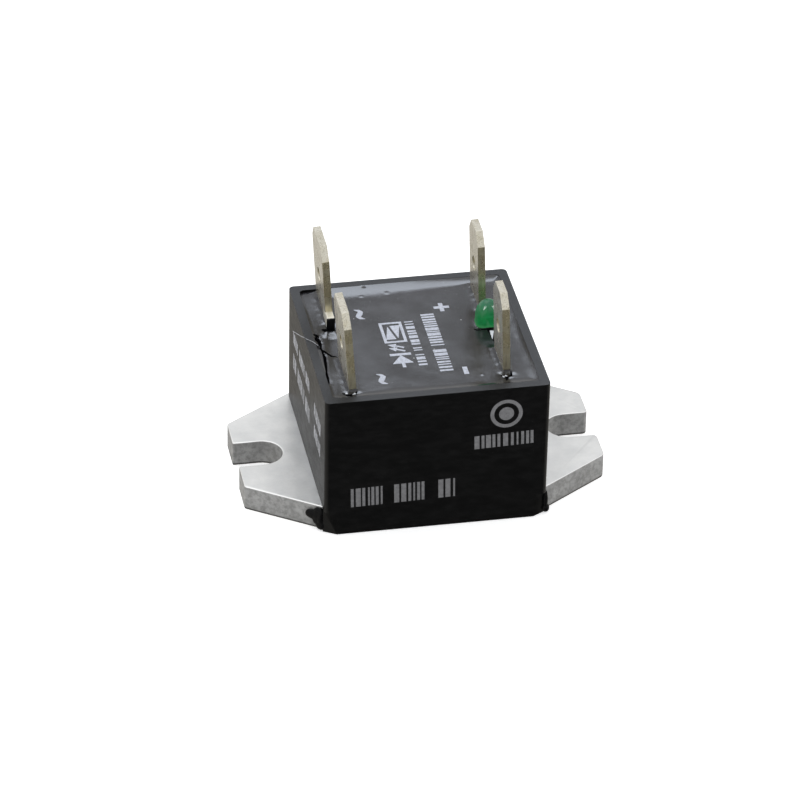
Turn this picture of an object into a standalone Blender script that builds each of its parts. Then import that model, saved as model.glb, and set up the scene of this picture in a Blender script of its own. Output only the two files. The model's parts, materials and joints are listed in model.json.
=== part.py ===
"""Compact panel-mount solid state relay.

A flat metal base with an open-ended screw slot at each end carries a black frame filled with epoxy. Two wide
load tabs stand on the left, two narrower input tabs and a green indicator on the right. The power chips sit
on a ceramic substrate on the base, with the control board above them.

Metres, +Z up. The origin is the middle of the base's underside, +X points to the input side.
"""

import math

import bmesh
import bpy
from mathutils import Matrix, Vector

MM = 0.001
GAP = 0.3 * MM  # left between pieces that touch
OVERSHOOT = 1.0 * MM  # how far a cutter runs past what it cuts
SAME_POINT = 0.001 * MM  # points closer than this are one
ARC_STEP = math.radians(12)

# Base plate
PLATE_THICKNESS = 2.9 * MM
PLATE_HALF_LENGTH = 19.9 * MM
PLATE_END_HALF_WIDTH = 6.25 * MM
SHOULDER_X = 12.2 * MM  # the slanted edges end here
SHOULDER_Y = 11.4 * MM
WAIST_X = 10.9 * MM  # the long edges step in here, to take the frame's skirts
WAIST_Y = 9.85 * MM
SLOT_HALF_WIDTH = 2.25 * MM
SLOT_CENTRE_X = 17.0 * MM  # centre of the slot's round end
LEFT_EAR_RADIUS = 0.45 * MM
RIGHT_EAR_RADIUS = 1.0 * MM
LEFT_MOUTH_RADIUS = 0.15 * MM
RIGHT_MOUTH_RADIUS = 0.5 * MM
CASE_SEAT_DEPTH = 0.1 * MM  # the frame stands in a shallow seat, which ends just outside its side walls
CASE_SEAT_MARGIN = 0.05 * MM

# Frame. It was glued on by hand, a little forward of the slots' centre line.
FRAME_LEFT = -12.28 * MM
FRAME_RIGHT = 12.06 * MM
FRAME_FRONT = -12.72 * MM
FRAME_BACK = 11.17 * MM
RIM_HEIGHT = 16.89 * MM
FRAME_BOTTOM = 0.05 * MM
FRAME_WALL = 1.0 * MM
FRAME_CORNER_RADIUS = 0.55 * MM
FRAME_EDGE_BEVEL = 0.2 * MM
SKIRT_CHAMFER_X = 1.4 * MM  # the front skirt's lower corners are cut back along the plate's slant
SKIRT_CHAMFER_Y = 0.8 * MM

# Fillings
POTTING_TOP = 16.6 * MM
POTTING_BOTTOM = 8.3 * MM
GEL_TOP = 8.0 * MM

# Tabs: name, x and middle y where the tab passes the rim, width, lean (x per z), tip height
TAB_THICKNESS = 0.81 * MM
TABS = (
    ("load_tab_rear", -9.04 * MM, 6.67 * MM, 6.35 * MM, -0.063, 25.80 * MM),
    ("load_tab_front", -8.93 * MM, -7.08 * MM, 6.35 * MM, -0.080, 25.80 * MM),
    ("input_tab_plus", 7.92 * MM, 6.15 * MM, 4.75 * MM, -0.041, 25.89 * MM),
    ("input_tab_minus", 7.97 * MM, -6.74 * MM, 4.75 * MM, -0.042, 25.89 * MM),
)
TAB_TIP_INSET = 1.12 * MM
TAB_TIP_HEIGHT = 1.45 * MM
TAB_HOLE_RADIUS = 0.83 * MM
TAB_HOLE_BELOW_TIP = 4.8 * MM
TAB_SHOULDER_Z = 14.4 * MM  # the blade narrows to its leg inside the epoxy
TAB_NECK_DROP = 0.5 * MM
TAB_BLADE_START = POTTING_TOP + 0.1 * MM  # below this the shank is thinner than the blade
TAB_SHANK_RELIEF = 0.05 * MM  # on each side
TAB_HOLE_STEPS = 24
LOAD_LEG_WIDTH = 3.0 * MM
INPUT_LEG_WIDTH = 2.0 * MM
LOAD_FOOT_LENGTH = 2.6 * MM
LOAD_FOOT_INSET = 0.15 * MM

# Power stage, as layers from the plate up
BOND_BOTTOM = PLATE_THICKNESS + GAP
BOND_THICKNESS = 0.2 * MM
SUBSTRATE_THICKNESS = 0.63 * MM
PAD_THICKNESS = 0.3 * MM
CHIP_THICKNESS = 0.3 * MM
STRAP_THICKNESS = 0.3 * MM
SUBSTRATE_HALF_X = 9.7 * MM
SUBSTRATE_HALF_Y = 8.8 * MM
SUBSTRATE_BOTTOM = BOND_BOTTOM + BOND_THICKNESS + GAP
BOND_INSET = 0.4 * MM
PAD_BOTTOM = SUBSTRATE_BOTTOM + SUBSTRATE_THICKNESS + GAP
PAD_TOP = PAD_BOTTOM + PAD_THICKNESS
CHIP_BOTTOM = PAD_TOP + GAP
CHIP_TOP = CHIP_BOTTOM + CHIP_THICKNESS
PAD_NEAR_Y = 1.2 * MM  # the pads' inner and outer edges, front and rear alike
PAD_FAR_Y = 8.4 * MM
POWER_PAD_X = (-9.4 * MM, 2.6 * MM)
GATE_PAD_X = (3.4 * MM, 6.4 * MM)
CHIP_SIZE = 3.6 * MM
CHIP_Y = 5.2 * MM
REAR_CHIP_X = -3.2 * MM
FRONT_CHIP_X = 0.6 * MM
STRAP_WIDTH = 2.2 * MM
STRAP_CROWN = 6.9 * MM
STRAP_LANDING_Y = 2.6 * MM
STRAP_FOOT_HALF = 0.8 * MM
GATE_WIRE_RADIUS = 0.13 * MM
GATE_WIRE_CROWN = 6.9 * MM
GATE_WIRE_Y = 6.6 * MM
GATE_WIRE_END_X = 3.9 * MM
GATE_WIRE_POINTS = 11
GATE_PIN_X = 4.6 * MM
GATE_PIN_SIZE = 0.6 * MM
GATE_PIN_Y = {"rear": 7.6 * MM, "front": -7.8 * MM}

# Control board and what is soldered onto it
BOARD_LOW = Vector((-6.9, -10.6, 8.8)) * MM
BOARD_HIGH = Vector((9.6, 9.0, 10.0)) * MM
PIN_BELOW_BOARD = 0.35 * MM
OPTO_CENTRE = Vector((1.2, -0.8)) * MM
OPTO_SIZE = Vector((6.4, 8.8, 3.4)) * MM
OPTO_LEAD_PITCH = 2.54 * MM
OPTO_LEAD_REACH = 1.75 * MM
OPTO_LEAD_WIDTH = 1.2 * MM
OPTO_LEAD_THICKNESS = 0.3 * MM
OPTO_LEAD_EXIT = 0.4  # the leads leave the body at this part of its height
# name, centre x, centre y, size x, size y, height, finish
BOARD_PARTS = (
    ("snubber_capacitor", -4.4, 6.4, 3.2, 4.5, 2.5, "ceramic_tan"),
    ("snubber_resistor", -5.4, -1.0, 2.0, 5.0, 0.6, "chip_black"),
    ("gate_resistor_rear", -0.4, 6.8, 3.2, 1.6, 0.6, "chip_black"),
    ("gate_resistor_front", -0.6, -7.6, 3.2, 1.6, 0.6, "chip_black"),
    ("protection_diode", -4.4, -8.4, 4.3, 2.6, 2.2, "chip_black"),
    ("current_limiter", 5.2, -9.4, 2.9, 1.3, 1.1, "chip_black"),
    ("input_resistor", 4.9, -6.4, 3.2, 1.6, 0.6, "chip_black"),
    ("led_resistor", 3.4, 4.9, 2.0, 1.25, 0.5, "chip_black"),
)

# Indicator
LED_X = 7.75 * MM
LED_Y = 0.75 * MM
LED_RADIUS = 1.45 * MM
LED_FLANGE_RADIUS = 1.9 * MM
LED_FLANGE_HEIGHT = 1.0 * MM
LED_BOTTOM = 14.65 * MM
LED_TOP = 19.15 * MM
LED_LEAD_SPACING = 2.54 * MM
LED_LEAD_SIZE = 0.5 * MM
LED_STEPS = 32

# Epoxy beads at the frame's front lower corners: centre, half sizes, turn about Z
BEADS = {
    "squeeze_out_left": ((-13.46, -11.34, 1.65), (0.85, 0.35, 0.95), math.radians(-34)),
    "squeeze_out_right": ((12.62, -11.95, 1.3), (0.25, 0.25, 1.15), 0.0),
}

# Finish: colour, roughness, metallic
FINISHES = {
    "aluminium": ((0.76, 0.77, 0.76), 0.42, 1.0),
    "black_plastic": ((0.016, 0.016, 0.018), 0.55, 0.0),
    "epoxy": ((0.055, 0.056, 0.062), 0.32, 0.0),
    "tin": ((0.70, 0.68, 0.60), 0.35, 1.0),
    "green_lens": ((0.02, 0.36, 0.12), 0.12, 0.0),
    "gel": ((0.62, 0.66, 0.68), 0.15, 0.0),
    "solder": ((0.60, 0.61, 0.62), 0.40, 1.0),
    "alumina": ((0.86, 0.85, 0.82), 0.60, 0.0),
    "copper": ((0.80, 0.44, 0.29), 0.38, 1.0),
    "silicon": ((0.30, 0.31, 0.34), 0.25, 0.6),
    "board": ((0.03, 0.22, 0.10), 0.45, 0.0),
    "chip_black": ((0.03, 0.03, 0.03), 0.50, 0.0),
    "ceramic_tan": ((0.55, 0.40, 0.24), 0.45, 0.0),
}


def clear_scene():
    for item in list(bpy.data.objects):
        bpy.data.objects.remove(item, do_unlink=True)


def new_collection(name):
    collection = bpy.data.collections.new(name)
    bpy.context.scene.collection.children.link(collection)
    return collection


def paint(item, finish):
    """Gives the object a material of its own, with the finish's colour, roughness and metallic value."""
    colour, roughness, metallic = FINISHES[finish]
    material = bpy.data.materials.new(item.name)
    material.use_nodes = True
    shader = material.node_tree.nodes["Principled BSDF"]
    shader.inputs["Base Color"].default_value = (*colour, 1.0)
    shader.inputs["Roughness"].default_value = roughness
    shader.inputs["Metallic"].default_value = metallic
    material.diffuse_color = (*colour, 1.0)
    item.data.materials.clear()
    item.data.materials.append(material)


def place(item, finish=None):
    """Puts a part with a finish under the relay's empty, and a cutter, which has none, with the cutters."""
    if finish:
        PARTS.objects.link(item)
        item.parent = ROOT
        paint(item, finish)
    else:
        CUTTERS.objects.link(item)
        item.hide_render = True
        item.display_type = "WIRE"
    return item


def mesh_object(name, bm, location=(0, 0, 0)):
    bmesh.ops.recalc_face_normals(bm, faces=bm.faces)
    mesh = bpy.data.meshes.new(name)
    bm.to_mesh(mesh)
    bm.free()
    item = bpy.data.objects.new(name, mesh)
    item.location = location
    return item


def block(name, low, high, finish=None):
    """A box between two opposite corners, with its origin in its middle."""
    low, high = Vector(low), Vector(high)
    bm = bmesh.new()
    bmesh.ops.create_cube(bm, size=1.0)
    bmesh.ops.scale(bm, vec=high - low, verts=bm.verts)
    return place(mesh_object(name, bm, (low + high) / 2), finish)


def cylinder(name, x, y, radius, z_low, z_high, finish=None, steps=32):
    bm = bmesh.new()
    bmesh.ops.create_cone(
        bm, cap_ends=True, segments=steps, radius1=radius, radius2=radius, depth=z_high - z_low
    )
    return place(mesh_object(name, bm, (x, y, (z_low + z_high) / 2)), finish)


def arc(centre, radius, start, end, steps):
    """Points along an arc, from the start angle to the end angle."""
    turns = [start + (end - start) * i / steps for i in range(steps + 1)]
    return [centre + radius * Vector((math.cos(a), math.sin(a))) for a in turns]


def rounded_outline(corners):
    """A closed outline from (x, y, radius) corners, each rounded by an arc of that radius."""
    outline = []
    for i, (x, y, radius) in enumerate(corners):
        corner = Vector((x, y))
        if radius == 0:
            outline.append(corner)
            continue
        back = (Vector(corners[i - 1][:2]) - corner).normalized()
        ahead = (Vector(corners[(i + 1) % len(corners)][:2]) - corner).normalized()
        half = back.angle(ahead) / 2
        centre = corner + (back + ahead).normalized() * radius / math.sin(half)
        first = corner + back * radius / math.tan(half) - centre
        last = corner + ahead * radius / math.tan(half) - centre
        start = math.atan2(first.y, first.x)
        sweep = (math.atan2(last.y, last.x) - start + math.pi) % (2 * math.pi) - math.pi
        steps = max(3, round(abs(sweep) / ARC_STEP))
        outline += arc(centre, radius, start, start + sweep, steps)
    return [p for i, p in enumerate(outline) if (p - outline[i - 1]).length > SAME_POINT]


def rectangle(x_low, x_high, y_low, y_high, radius):
    return rounded_outline(
        [
            (x_low, y_low, radius),
            (x_high, y_low, radius),
            (x_high, y_high, radius),
            (x_low, y_high, radius),
        ]
    )


def slab(name, outlines, thickness, matrix, finish=None):
    """A flat shape from closed outlines, the later ones holes in the first, as a mesh for Booleans."""
    curve = bpy.data.curves.new(name, "CURVE")
    curve.dimensions = "2D"
    curve.fill_mode = "BOTH"
    curve.extrude = thickness / 2
    for outline in outlines:
        spline = curve.splines.new("POLY")
        spline.points.add(len(outline) - 1)
        for point, (x, y) in zip(spline.points, outline):
            point.co = (x, y, 0, 1)
        spline.use_cyclic_u = True
    guide = bpy.data.objects.new(name + "_outline", curve)
    bpy.context.scene.collection.objects.link(guide)
    guide.matrix_world = matrix
    bpy.context.view_layer.update()
    graph = bpy.context.evaluated_depsgraph_get()
    mesh = bpy.data.meshes.new_from_object(guide.evaluated_get(graph))
    bm = bmesh.new()
    bm.from_mesh(mesh)
    bmesh.ops.remove_doubles(bm, verts=bm.verts, dist=SAME_POINT)
    bmesh.ops.recalc_face_normals(bm, faces=bm.faces)
    bm.to_mesh(mesh)
    bm.free()
    item = bpy.data.objects.new(name, mesh)
    item.matrix_world = guide.matrix_world
    bpy.data.objects.remove(guide, do_unlink=True)
    return place(item, finish)


def flat_slab(name, outlines, z_low, z_high, finish=None):
    return slab(name, outlines, z_high - z_low, Matrix.Translation((0, 0, (z_low + z_high) / 2)), finish)


def combine(item, other, operation):
    modifier = item.modifiers.new(operation.lower(), "BOOLEAN")
    modifier.operation = operation
    modifier.solver = "EXACT"
    modifier.object = other


def cut(item, cutter):
    combine(item, cutter, "DIFFERENCE")


def bevel(item, width, segments=2, angle=math.radians(40)):
    modifier = item.modifiers.new("bevel", "BEVEL")
    modifier.width = width
    modifier.segments = segments
    modifier.limit_method = "ANGLE"
    modifier.angle_limit = angle


def smooth(item, angle=math.radians(35)):
    item.data.shade_smooth()
    item.data.set_sharp_from_angle(angle=angle)


def pocket(filling, name, low, high, bottom):
    """Cuts a box's space, with a gap round it, out of a filling, and opens it down through the bottom."""
    low, high = Vector(low), Vector(high)
    margin = Vector((GAP, GAP, 0))
    floor = Vector((low.x, low.y, bottom - OVERSHOOT))
    cut(filling, block(name, floor - margin, high + margin + Vector((0, 0, GAP))))


def plate_outline():
    slot_end = SLOT_CENTRE_X - SLOT_HALF_WIDTH

    def end(side, ear_radius, mouth_radius):
        """The corners of one end, from its front shoulder to its rear one."""
        return [
            (side * SHOULDER_X, -SHOULDER_Y, 0),
            (side * PLATE_HALF_LENGTH, -PLATE_END_HALF_WIDTH, ear_radius),
            (side * PLATE_HALF_LENGTH, -SLOT_HALF_WIDTH, mouth_radius),
            (side * slot_end, -SLOT_HALF_WIDTH, SLOT_HALF_WIDTH),
            (side * slot_end, SLOT_HALF_WIDTH, SLOT_HALF_WIDTH),
            (side * PLATE_HALF_LENGTH, SLOT_HALF_WIDTH, mouth_radius),
            (side * PLATE_HALF_LENGTH, PLATE_END_HALF_WIDTH, ear_radius),
            (side * SHOULDER_X, SHOULDER_Y, 0),
        ]

    def waist(side):
        """The step in one long edge, from its right end to its left end at the rear."""
        return [
            (side * WAIST_X, side * SHOULDER_Y, 0),
            (side * WAIST_X, side * WAIST_Y, 0),
            (-side * WAIST_X, side * WAIST_Y, 0),
            (-side * WAIST_X, side * SHOULDER_Y, 0),
        ]

    right = end(1, RIGHT_EAR_RADIUS, RIGHT_MOUTH_RADIUS)
    left = end(-1, LEFT_EAR_RADIUS, LEFT_MOUTH_RADIUS)[::-1]
    return rounded_outline(right + waist(1) + left + waist(-1))


def make_base_plate():
    plate = flat_slab("base_plate", [plate_outline()], 0, PLATE_THICKNESS, "aluminium")
    smooth(plate)
    side = SHOULDER_Y + OVERSHOOT
    low = (FRAME_LEFT - CASE_SEAT_MARGIN, -side, PLATE_THICKNESS - CASE_SEAT_DEPTH)
    high = (FRAME_RIGHT + CASE_SEAT_MARGIN, side, PLATE_THICKNESS + OVERSHOOT)
    cut(plate, block("case_seat", low, high))


def make_case_frame():
    outer = rectangle(FRAME_LEFT, FRAME_RIGHT, FRAME_FRONT, FRAME_BACK, FRAME_CORNER_RADIUS)
    inner = rectangle(
        FRAME_LEFT + FRAME_WALL,
        FRAME_RIGHT - FRAME_WALL,
        FRAME_FRONT + FRAME_WALL,
        FRAME_BACK - FRAME_WALL,
        FRAME_CORNER_RADIUS,
    )
    frame = flat_slab("case_frame", [outer, inner], FRAME_BOTTOM, RIM_HEIGHT, "black_plastic")
    bevel(frame, FRAME_EDGE_BEVEL)
    smooth(frame)

    # The side walls stand on the plate. In front and behind, the skirts run down past its stepped edges.
    reach = PLATE_HALF_LENGTH
    side = SHOULDER_Y + GAP
    step_x = WAIST_X - GAP
    step_y = WAIST_Y + GAP
    clearance = [
        (-reach, -side), (-step_x, -side), (-step_x, -step_y),
        (step_x, -step_y), (step_x, -side), (reach, -side),
        (reach, side), (step_x, side), (step_x, step_y),
        (-step_x, step_y), (-step_x, side), (-reach, side),
    ]
    cut(frame, flat_slab("plate_clearance", [clearance], -OVERSHOOT, PLATE_THICKNESS + GAP))

    for side_name, x, inward in (("left", FRAME_LEFT, 1), ("right", FRAME_RIGHT, -1)):
        wedge = [
            (x - inward * OVERSHOOT, FRAME_FRONT - OVERSHOOT),
            (x + inward * SKIRT_CHAMFER_X, FRAME_FRONT - OVERSHOOT),
            (x + inward * SKIRT_CHAMFER_X, FRAME_FRONT),
            (x, FRAME_FRONT + SKIRT_CHAMFER_Y),
            (x - inward * OVERSHOOT, FRAME_FRONT + SKIRT_CHAMFER_Y),
        ]
        cut(frame, flat_slab("skirt_corner_" + side_name, [wedge], -OVERSHOOT, PLATE_THICKNESS))


def make_tab(name, x, y, width, lean, tip, potting, gel, board):
    """A quick-connect tab on a narrower leg. A load tab's leg ends in a foot, an input tab's in the board."""
    load = name.startswith("load")
    leg = (LOAD_LEG_WIDTH if load else INPUT_LEG_WIDTH) / 2
    foot_bottom = CHIP_BOTTOM
    foot_top = foot_bottom + TAB_THICKNESS
    leg_end = (foot_bottom + foot_top) / 2 if load else BOARD_LOW.z - PIN_BELOW_BOARD
    half = width / 2
    tip_z = tip - RIM_HEIGHT
    shoulder_z = TAB_SHOULDER_Z - RIM_HEIGHT
    neck_z = shoulder_z - TAB_NECK_DROP
    leg_z = leg_end - RIM_HEIGHT
    outline = [
        (-leg, leg_z), (leg, leg_z), (leg, neck_z), (half, shoulder_z), (half, tip_z - TAB_TIP_HEIGHT),
        (half - TAB_TIP_INSET, tip_z), (TAB_TIP_INSET - half, tip_z), (-half, tip_z - TAB_TIP_HEIGHT),
        (-half, shoulder_z), (-leg, neck_z),
    ]
    hole_centre = Vector((0, tip_z - TAB_HOLE_BELOW_TIP))
    hole = arc(hole_centre, TAB_HOLE_RADIUS, 0, 2 * math.pi, TAB_HOLE_STEPS)[:-1]
    # The outline's x runs along the tab's width, its y up the tab and its thickness along the relay's X.
    upright = Matrix(((0, 0, 1, 0), (1, 0, 0, 0), (0, 1, 0, 0), (0, 0, 0, 1)))
    stance = Matrix.Translation((x, y, RIM_HEIGHT)) @ Matrix.Rotation(math.atan(lean), 4, "Y")
    tab = slab(name, [outline, hole], TAB_THICKNESS, stance @ upright, "tin")

    shank = [
        (-width, leg_z - OVERSHOOT), (width, leg_z - OVERSHOOT),
        (width, TAB_BLADE_START - RIM_HEIGHT), (-width, TAB_BLADE_START - RIM_HEIGHT),
    ]
    for side_name, side in (("left", -1), ("right", 1)):
        beside = side * (TAB_THICKNESS / 2 - TAB_SHANK_RELIEF + OVERSHOOT / 2)
        offset = Matrix.Translation((0, 0, beside))
        cut(tab, slab(f"{name}_{side_name}_relief", [shank], OVERSHOOT, stance @ upright @ offset))

    space = [
        (-leg - GAP, leg_z - OVERSHOOT), (leg + GAP, leg_z - OVERSHOOT), (leg + GAP, neck_z - GAP),
        (half + GAP, shoulder_z - GAP), (half + GAP, tip_z), (-half - GAP, tip_z),
        (-half - GAP, shoulder_z - GAP), (-leg - GAP, neck_z - GAP),
    ]
    cutter = slab(name + "_space", [space], TAB_THICKNESS + 2 * GAP, stance @ upright)
    for passed in [potting, gel if load else board]:
        cut(passed, cutter)
    if not load:
        return
    # The foot starts inside the leg and is a little narrower, so that no faces coincide in the join.
    heel = x + lean * (foot_bottom - RIM_HEIGHT)
    low = Vector((heel, y - leg + LOAD_FOOT_INSET, foot_bottom))
    high = Vector((heel + LOAD_FOOT_LENGTH, y + leg - LOAD_FOOT_INSET, foot_top))
    combine(tab, block(name + "_foot", low, high), "UNION")
    pocket(gel, name + "_foot_space", low, high, BOND_BOTTOM)


def strip(name, profile, x, width, thickness, finish):
    """A bent strap: an open strip along a (y, z) profile, given its thickness downwards by Solidify."""
    bm = bmesh.new()
    rows = [
        [bm.verts.new((side * width / 2, y, z)) for side in (-1, 1)]
        for y, z in profile
    ]
    for a, b in zip(rows, rows[1:]):
        bm.faces.new((a[0], a[1], b[1], b[0]))
    item = place(mesh_object(name, bm, (x, 0, 0)), finish)
    modifier = item.modifiers.new("thickness", "SOLIDIFY")
    modifier.thickness = thickness
    modifier.offset = 0
    modifier.use_even_offset = True
    return item


def make_power_stage(gel):
    """The bonded ceramic with its pads, and the two chips with their straps, gate wires and gate pins."""
    half = Vector((SUBSTRATE_HALF_X, SUBSTRATE_HALF_Y, 0))
    inset = Vector((BOND_INSET, BOND_INSET, 0))
    block("bond_layer", inset - half + Vector((0, 0, BOND_BOTTOM)),
          half - inset + Vector((0, 0, BOND_BOTTOM + BOND_THICKNESS)), "solder")
    top = Vector((half.x, half.y, SUBSTRATE_BOTTOM + SUBSTRATE_THICKNESS))
    block("ceramic_substrate", Vector((0, 0, SUBSTRATE_BOTTOM)) - half, top, "alumina")
    pocket(gel, "substrate_space", -half, top, BOND_BOTTOM)

    for name, side, chip_x in (("rear", 1, REAR_CHIP_X), ("front", -1, FRONT_CHIP_X)):
        y_low, y_high = sorted((side * PAD_NEAR_Y, side * PAD_FAR_Y))
        for kind, (x_low, x_high) in (("pad_", POWER_PAD_X), ("pad_gate_", GATE_PAD_X)):
            low, high = (x_low, y_low, PAD_BOTTOM), (x_high, y_high, PAD_TOP)
            block(kind + name, low, high, "copper")
            pocket(gel, kind + name + "_space", low, high, BOND_BOTTOM)

        chip = Vector((chip_x, side * CHIP_Y, 0))
        reach = Vector((CHIP_SIZE / 2, CHIP_SIZE / 2, 0))
        low = chip - reach + Vector((0, 0, CHIP_BOTTOM))
        high = chip + reach + Vector((0, 0, CHIP_TOP))
        block("thyristor_" + name, low, high, "silicon")
        pocket(gel, f"thyristor_{name}_space", low, high, BOND_BOTTOM)

        # From the chip's top, over the gap between the pads, down to the other pad.
        chip_z = CHIP_TOP + GAP + STRAP_THICKNESS / 2
        pad_z = PAD_TOP + GAP + STRAP_THICKNESS / 2
        crown_z = STRAP_CROWN - STRAP_THICKNESS / 2
        chip_end = side * (CHIP_Y + STRAP_FOOT_HALF)
        landing = -side * STRAP_LANDING_Y
        profile = [
            (chip_end, chip_z),
            (chip_end - side * 2 * STRAP_FOOT_HALF, chip_z),
            (chip_end - side * 3 * STRAP_FOOT_HALF, crown_z),
            (landing + side * 2 * STRAP_FOOT_HALF, crown_z),
            (landing + side * STRAP_FOOT_HALF, pad_z),
            (landing - side * STRAP_FOOT_HALF, pad_z),
        ]
        strip("clip_" + name, profile, chip_x, STRAP_WIDTH, STRAP_THICKNESS, "copper")
        y_low, y_high = sorted((chip_end, landing - side * STRAP_FOOT_HALF))
        pocket(gel, f"clip_{name}_space", (chip_x - STRAP_WIDTH / 2, y_low, 0),
               (chip_x + STRAP_WIDTH / 2, y_high, STRAP_CROWN), BOND_BOTTOM)

        # The gate wire arches from the chip's corner to the gate pad.
        start = Vector((chip_x + CHIP_SIZE / 2 - 2 * GAP, side * GATE_WIRE_Y, CHIP_TOP + GAP))
        end = Vector((GATE_WIRE_END_X, side * GATE_WIRE_Y, PAD_TOP + GAP))
        make_gate_wire("gate_wire_" + name, start, end)
        wire = Vector((GATE_WIRE_RADIUS, GATE_WIRE_RADIUS, 0))
        pocket(gel, f"gate_wire_{name}_space", start - wire,
               Vector((end.x, end.y, GATE_WIRE_CROWN + GATE_WIRE_RADIUS)) + wire, BOND_BOTTOM)

        reach = Vector((GATE_PIN_SIZE, GATE_PIN_SIZE, 0)) / 2
        foot = Vector((GATE_PIN_X, GATE_PIN_Y[name], CHIP_BOTTOM)) - reach
        head = Vector((GATE_PIN_X, GATE_PIN_Y[name], BOARD_HIGH.z + GAP)) + reach
        block("gate_pin_" + name, foot, head, "tin")
        pocket(gel, f"gate_pin_{name}_space", foot, head, BOND_BOTTOM)


def make_gate_wire(name, start, end):
    """A thin round wire on a half-sine arch."""
    curve = bpy.data.curves.new(name, "CURVE")
    curve.dimensions = "3D"
    curve.bevel_depth = GATE_WIRE_RADIUS
    curve.bevel_resolution = 2
    curve.use_fill_caps = True
    spline = curve.splines.new("POLY")
    spline.points.add(GATE_WIRE_POINTS - 1)
    for i, point in enumerate(spline.points):
        t = i / (GATE_WIRE_POINTS - 1)
        rise = (GATE_WIRE_CROWN - (start.z + end.z) / 2) * math.sin(math.pi * t)
        point.co = (*(start.lerp(end, t) + Vector((0, 0, rise))), 1)
    place(bpy.data.objects.new(name, curve), "tin")


def make_control_board(potting):
    board = block("control_board", BOARD_LOW, BOARD_HIGH, "board")
    pocket(potting, "board_space", BOARD_LOW, BOARD_HIGH, POTTING_BOTTOM)
    for name, y in GATE_PIN_Y.items():
        reach = Vector((1, 1, 0)) * (GATE_PIN_SIZE / 2 + GAP)
        middle = Vector((GATE_PIN_X, y, 0))
        low = middle - reach + Vector((0, 0, BOARD_LOW.z - OVERSHOOT))
        high = middle + reach + Vector((0, 0, BOARD_HIGH.z + OVERSHOOT))
        cut(board, block(f"gate_pin_{name}_hole", low, high))
        high = middle + reach - Vector((GAP, GAP, 0)) + Vector((0, 0, BOARD_HIGH.z + GAP))
        pocket(potting, f"gate_pin_{name}_head", middle - reach + Vector((GAP, GAP, 0)), high, POTTING_BOTTOM)

    seat = BOARD_HIGH.z + GAP
    for name, x, y, size_x, size_y, height, finish in BOARD_PARTS:
        middle = Vector((x * MM, y * MM, seat))
        reach = Vector((size_x * MM / 2, size_y * MM / 2, 0))
        high = middle + reach + Vector((0, 0, height * MM))
        block(name, middle - reach, high, finish)
        pocket(potting, name + "_space", middle - reach, high, POTTING_BOTTOM)
    make_opto_coupler(potting, seat + GAP)
    return board


def make_opto_coupler(potting, bottom):
    """The moulded body with three gull-wing leads along each long side, standing just over the board."""
    middle = Vector((OPTO_CENTRE.x, OPTO_CENTRE.y, bottom))
    reach = Vector((OPTO_SIZE.x / 2, OPTO_SIZE.y / 2, 0))
    high = middle + reach + Vector((0, 0, OPTO_SIZE.z))
    opto = block("opto_coupler", middle - reach, high, "chip_black")
    pocket(potting, "opto_space", middle - reach, high, POTTING_BOTTOM)
    lead = Vector((OPTO_LEAD_REACH, OPTO_LEAD_WIDTH / 2, OPTO_LEAD_THICKNESS))
    exit_z = bottom + OPTO_SIZE.z * OPTO_LEAD_EXIT
    for i in range(6):
        side = 1 if i < 3 else -1
        y = middle.y + (i % 3 - 1) * OPTO_LEAD_PITCH
        root = middle.x + side * (OPTO_SIZE.x / 2 - GAP)
        knee = middle.x + side * (OPTO_SIZE.x / 2 + GAP + lead.z)
        tip = middle.x + side * (OPTO_SIZE.x / 2 + lead.x)
        spans = (
            ("arm", root, knee, exit_z, exit_z + lead.z),
            ("drop", knee, knee - side * lead.z, bottom - GAP, exit_z + lead.z / 2),
            ("toe", knee - side * lead.z / 2, tip, bottom - GAP, bottom - GAP + lead.z),
        )
        for part, x_a, x_b, z_low, z_high in spans:
            x_low, x_high = sorted((x_a, x_b))
            low, high = (x_low, y - lead.y, z_low), (x_high, y + lead.y, z_high)
            combine(opto, block(f"opto_lead_{i + 1}_{part}", low, high), "UNION")
        x_low, x_high = sorted((middle.x, tip))
        pocket(potting, f"opto_lead_{i + 1}_space", (x_low, y - lead.y, bottom),
               (x_high, y + lead.y, exit_z + lead.z), POTTING_BOTTOM)


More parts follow.
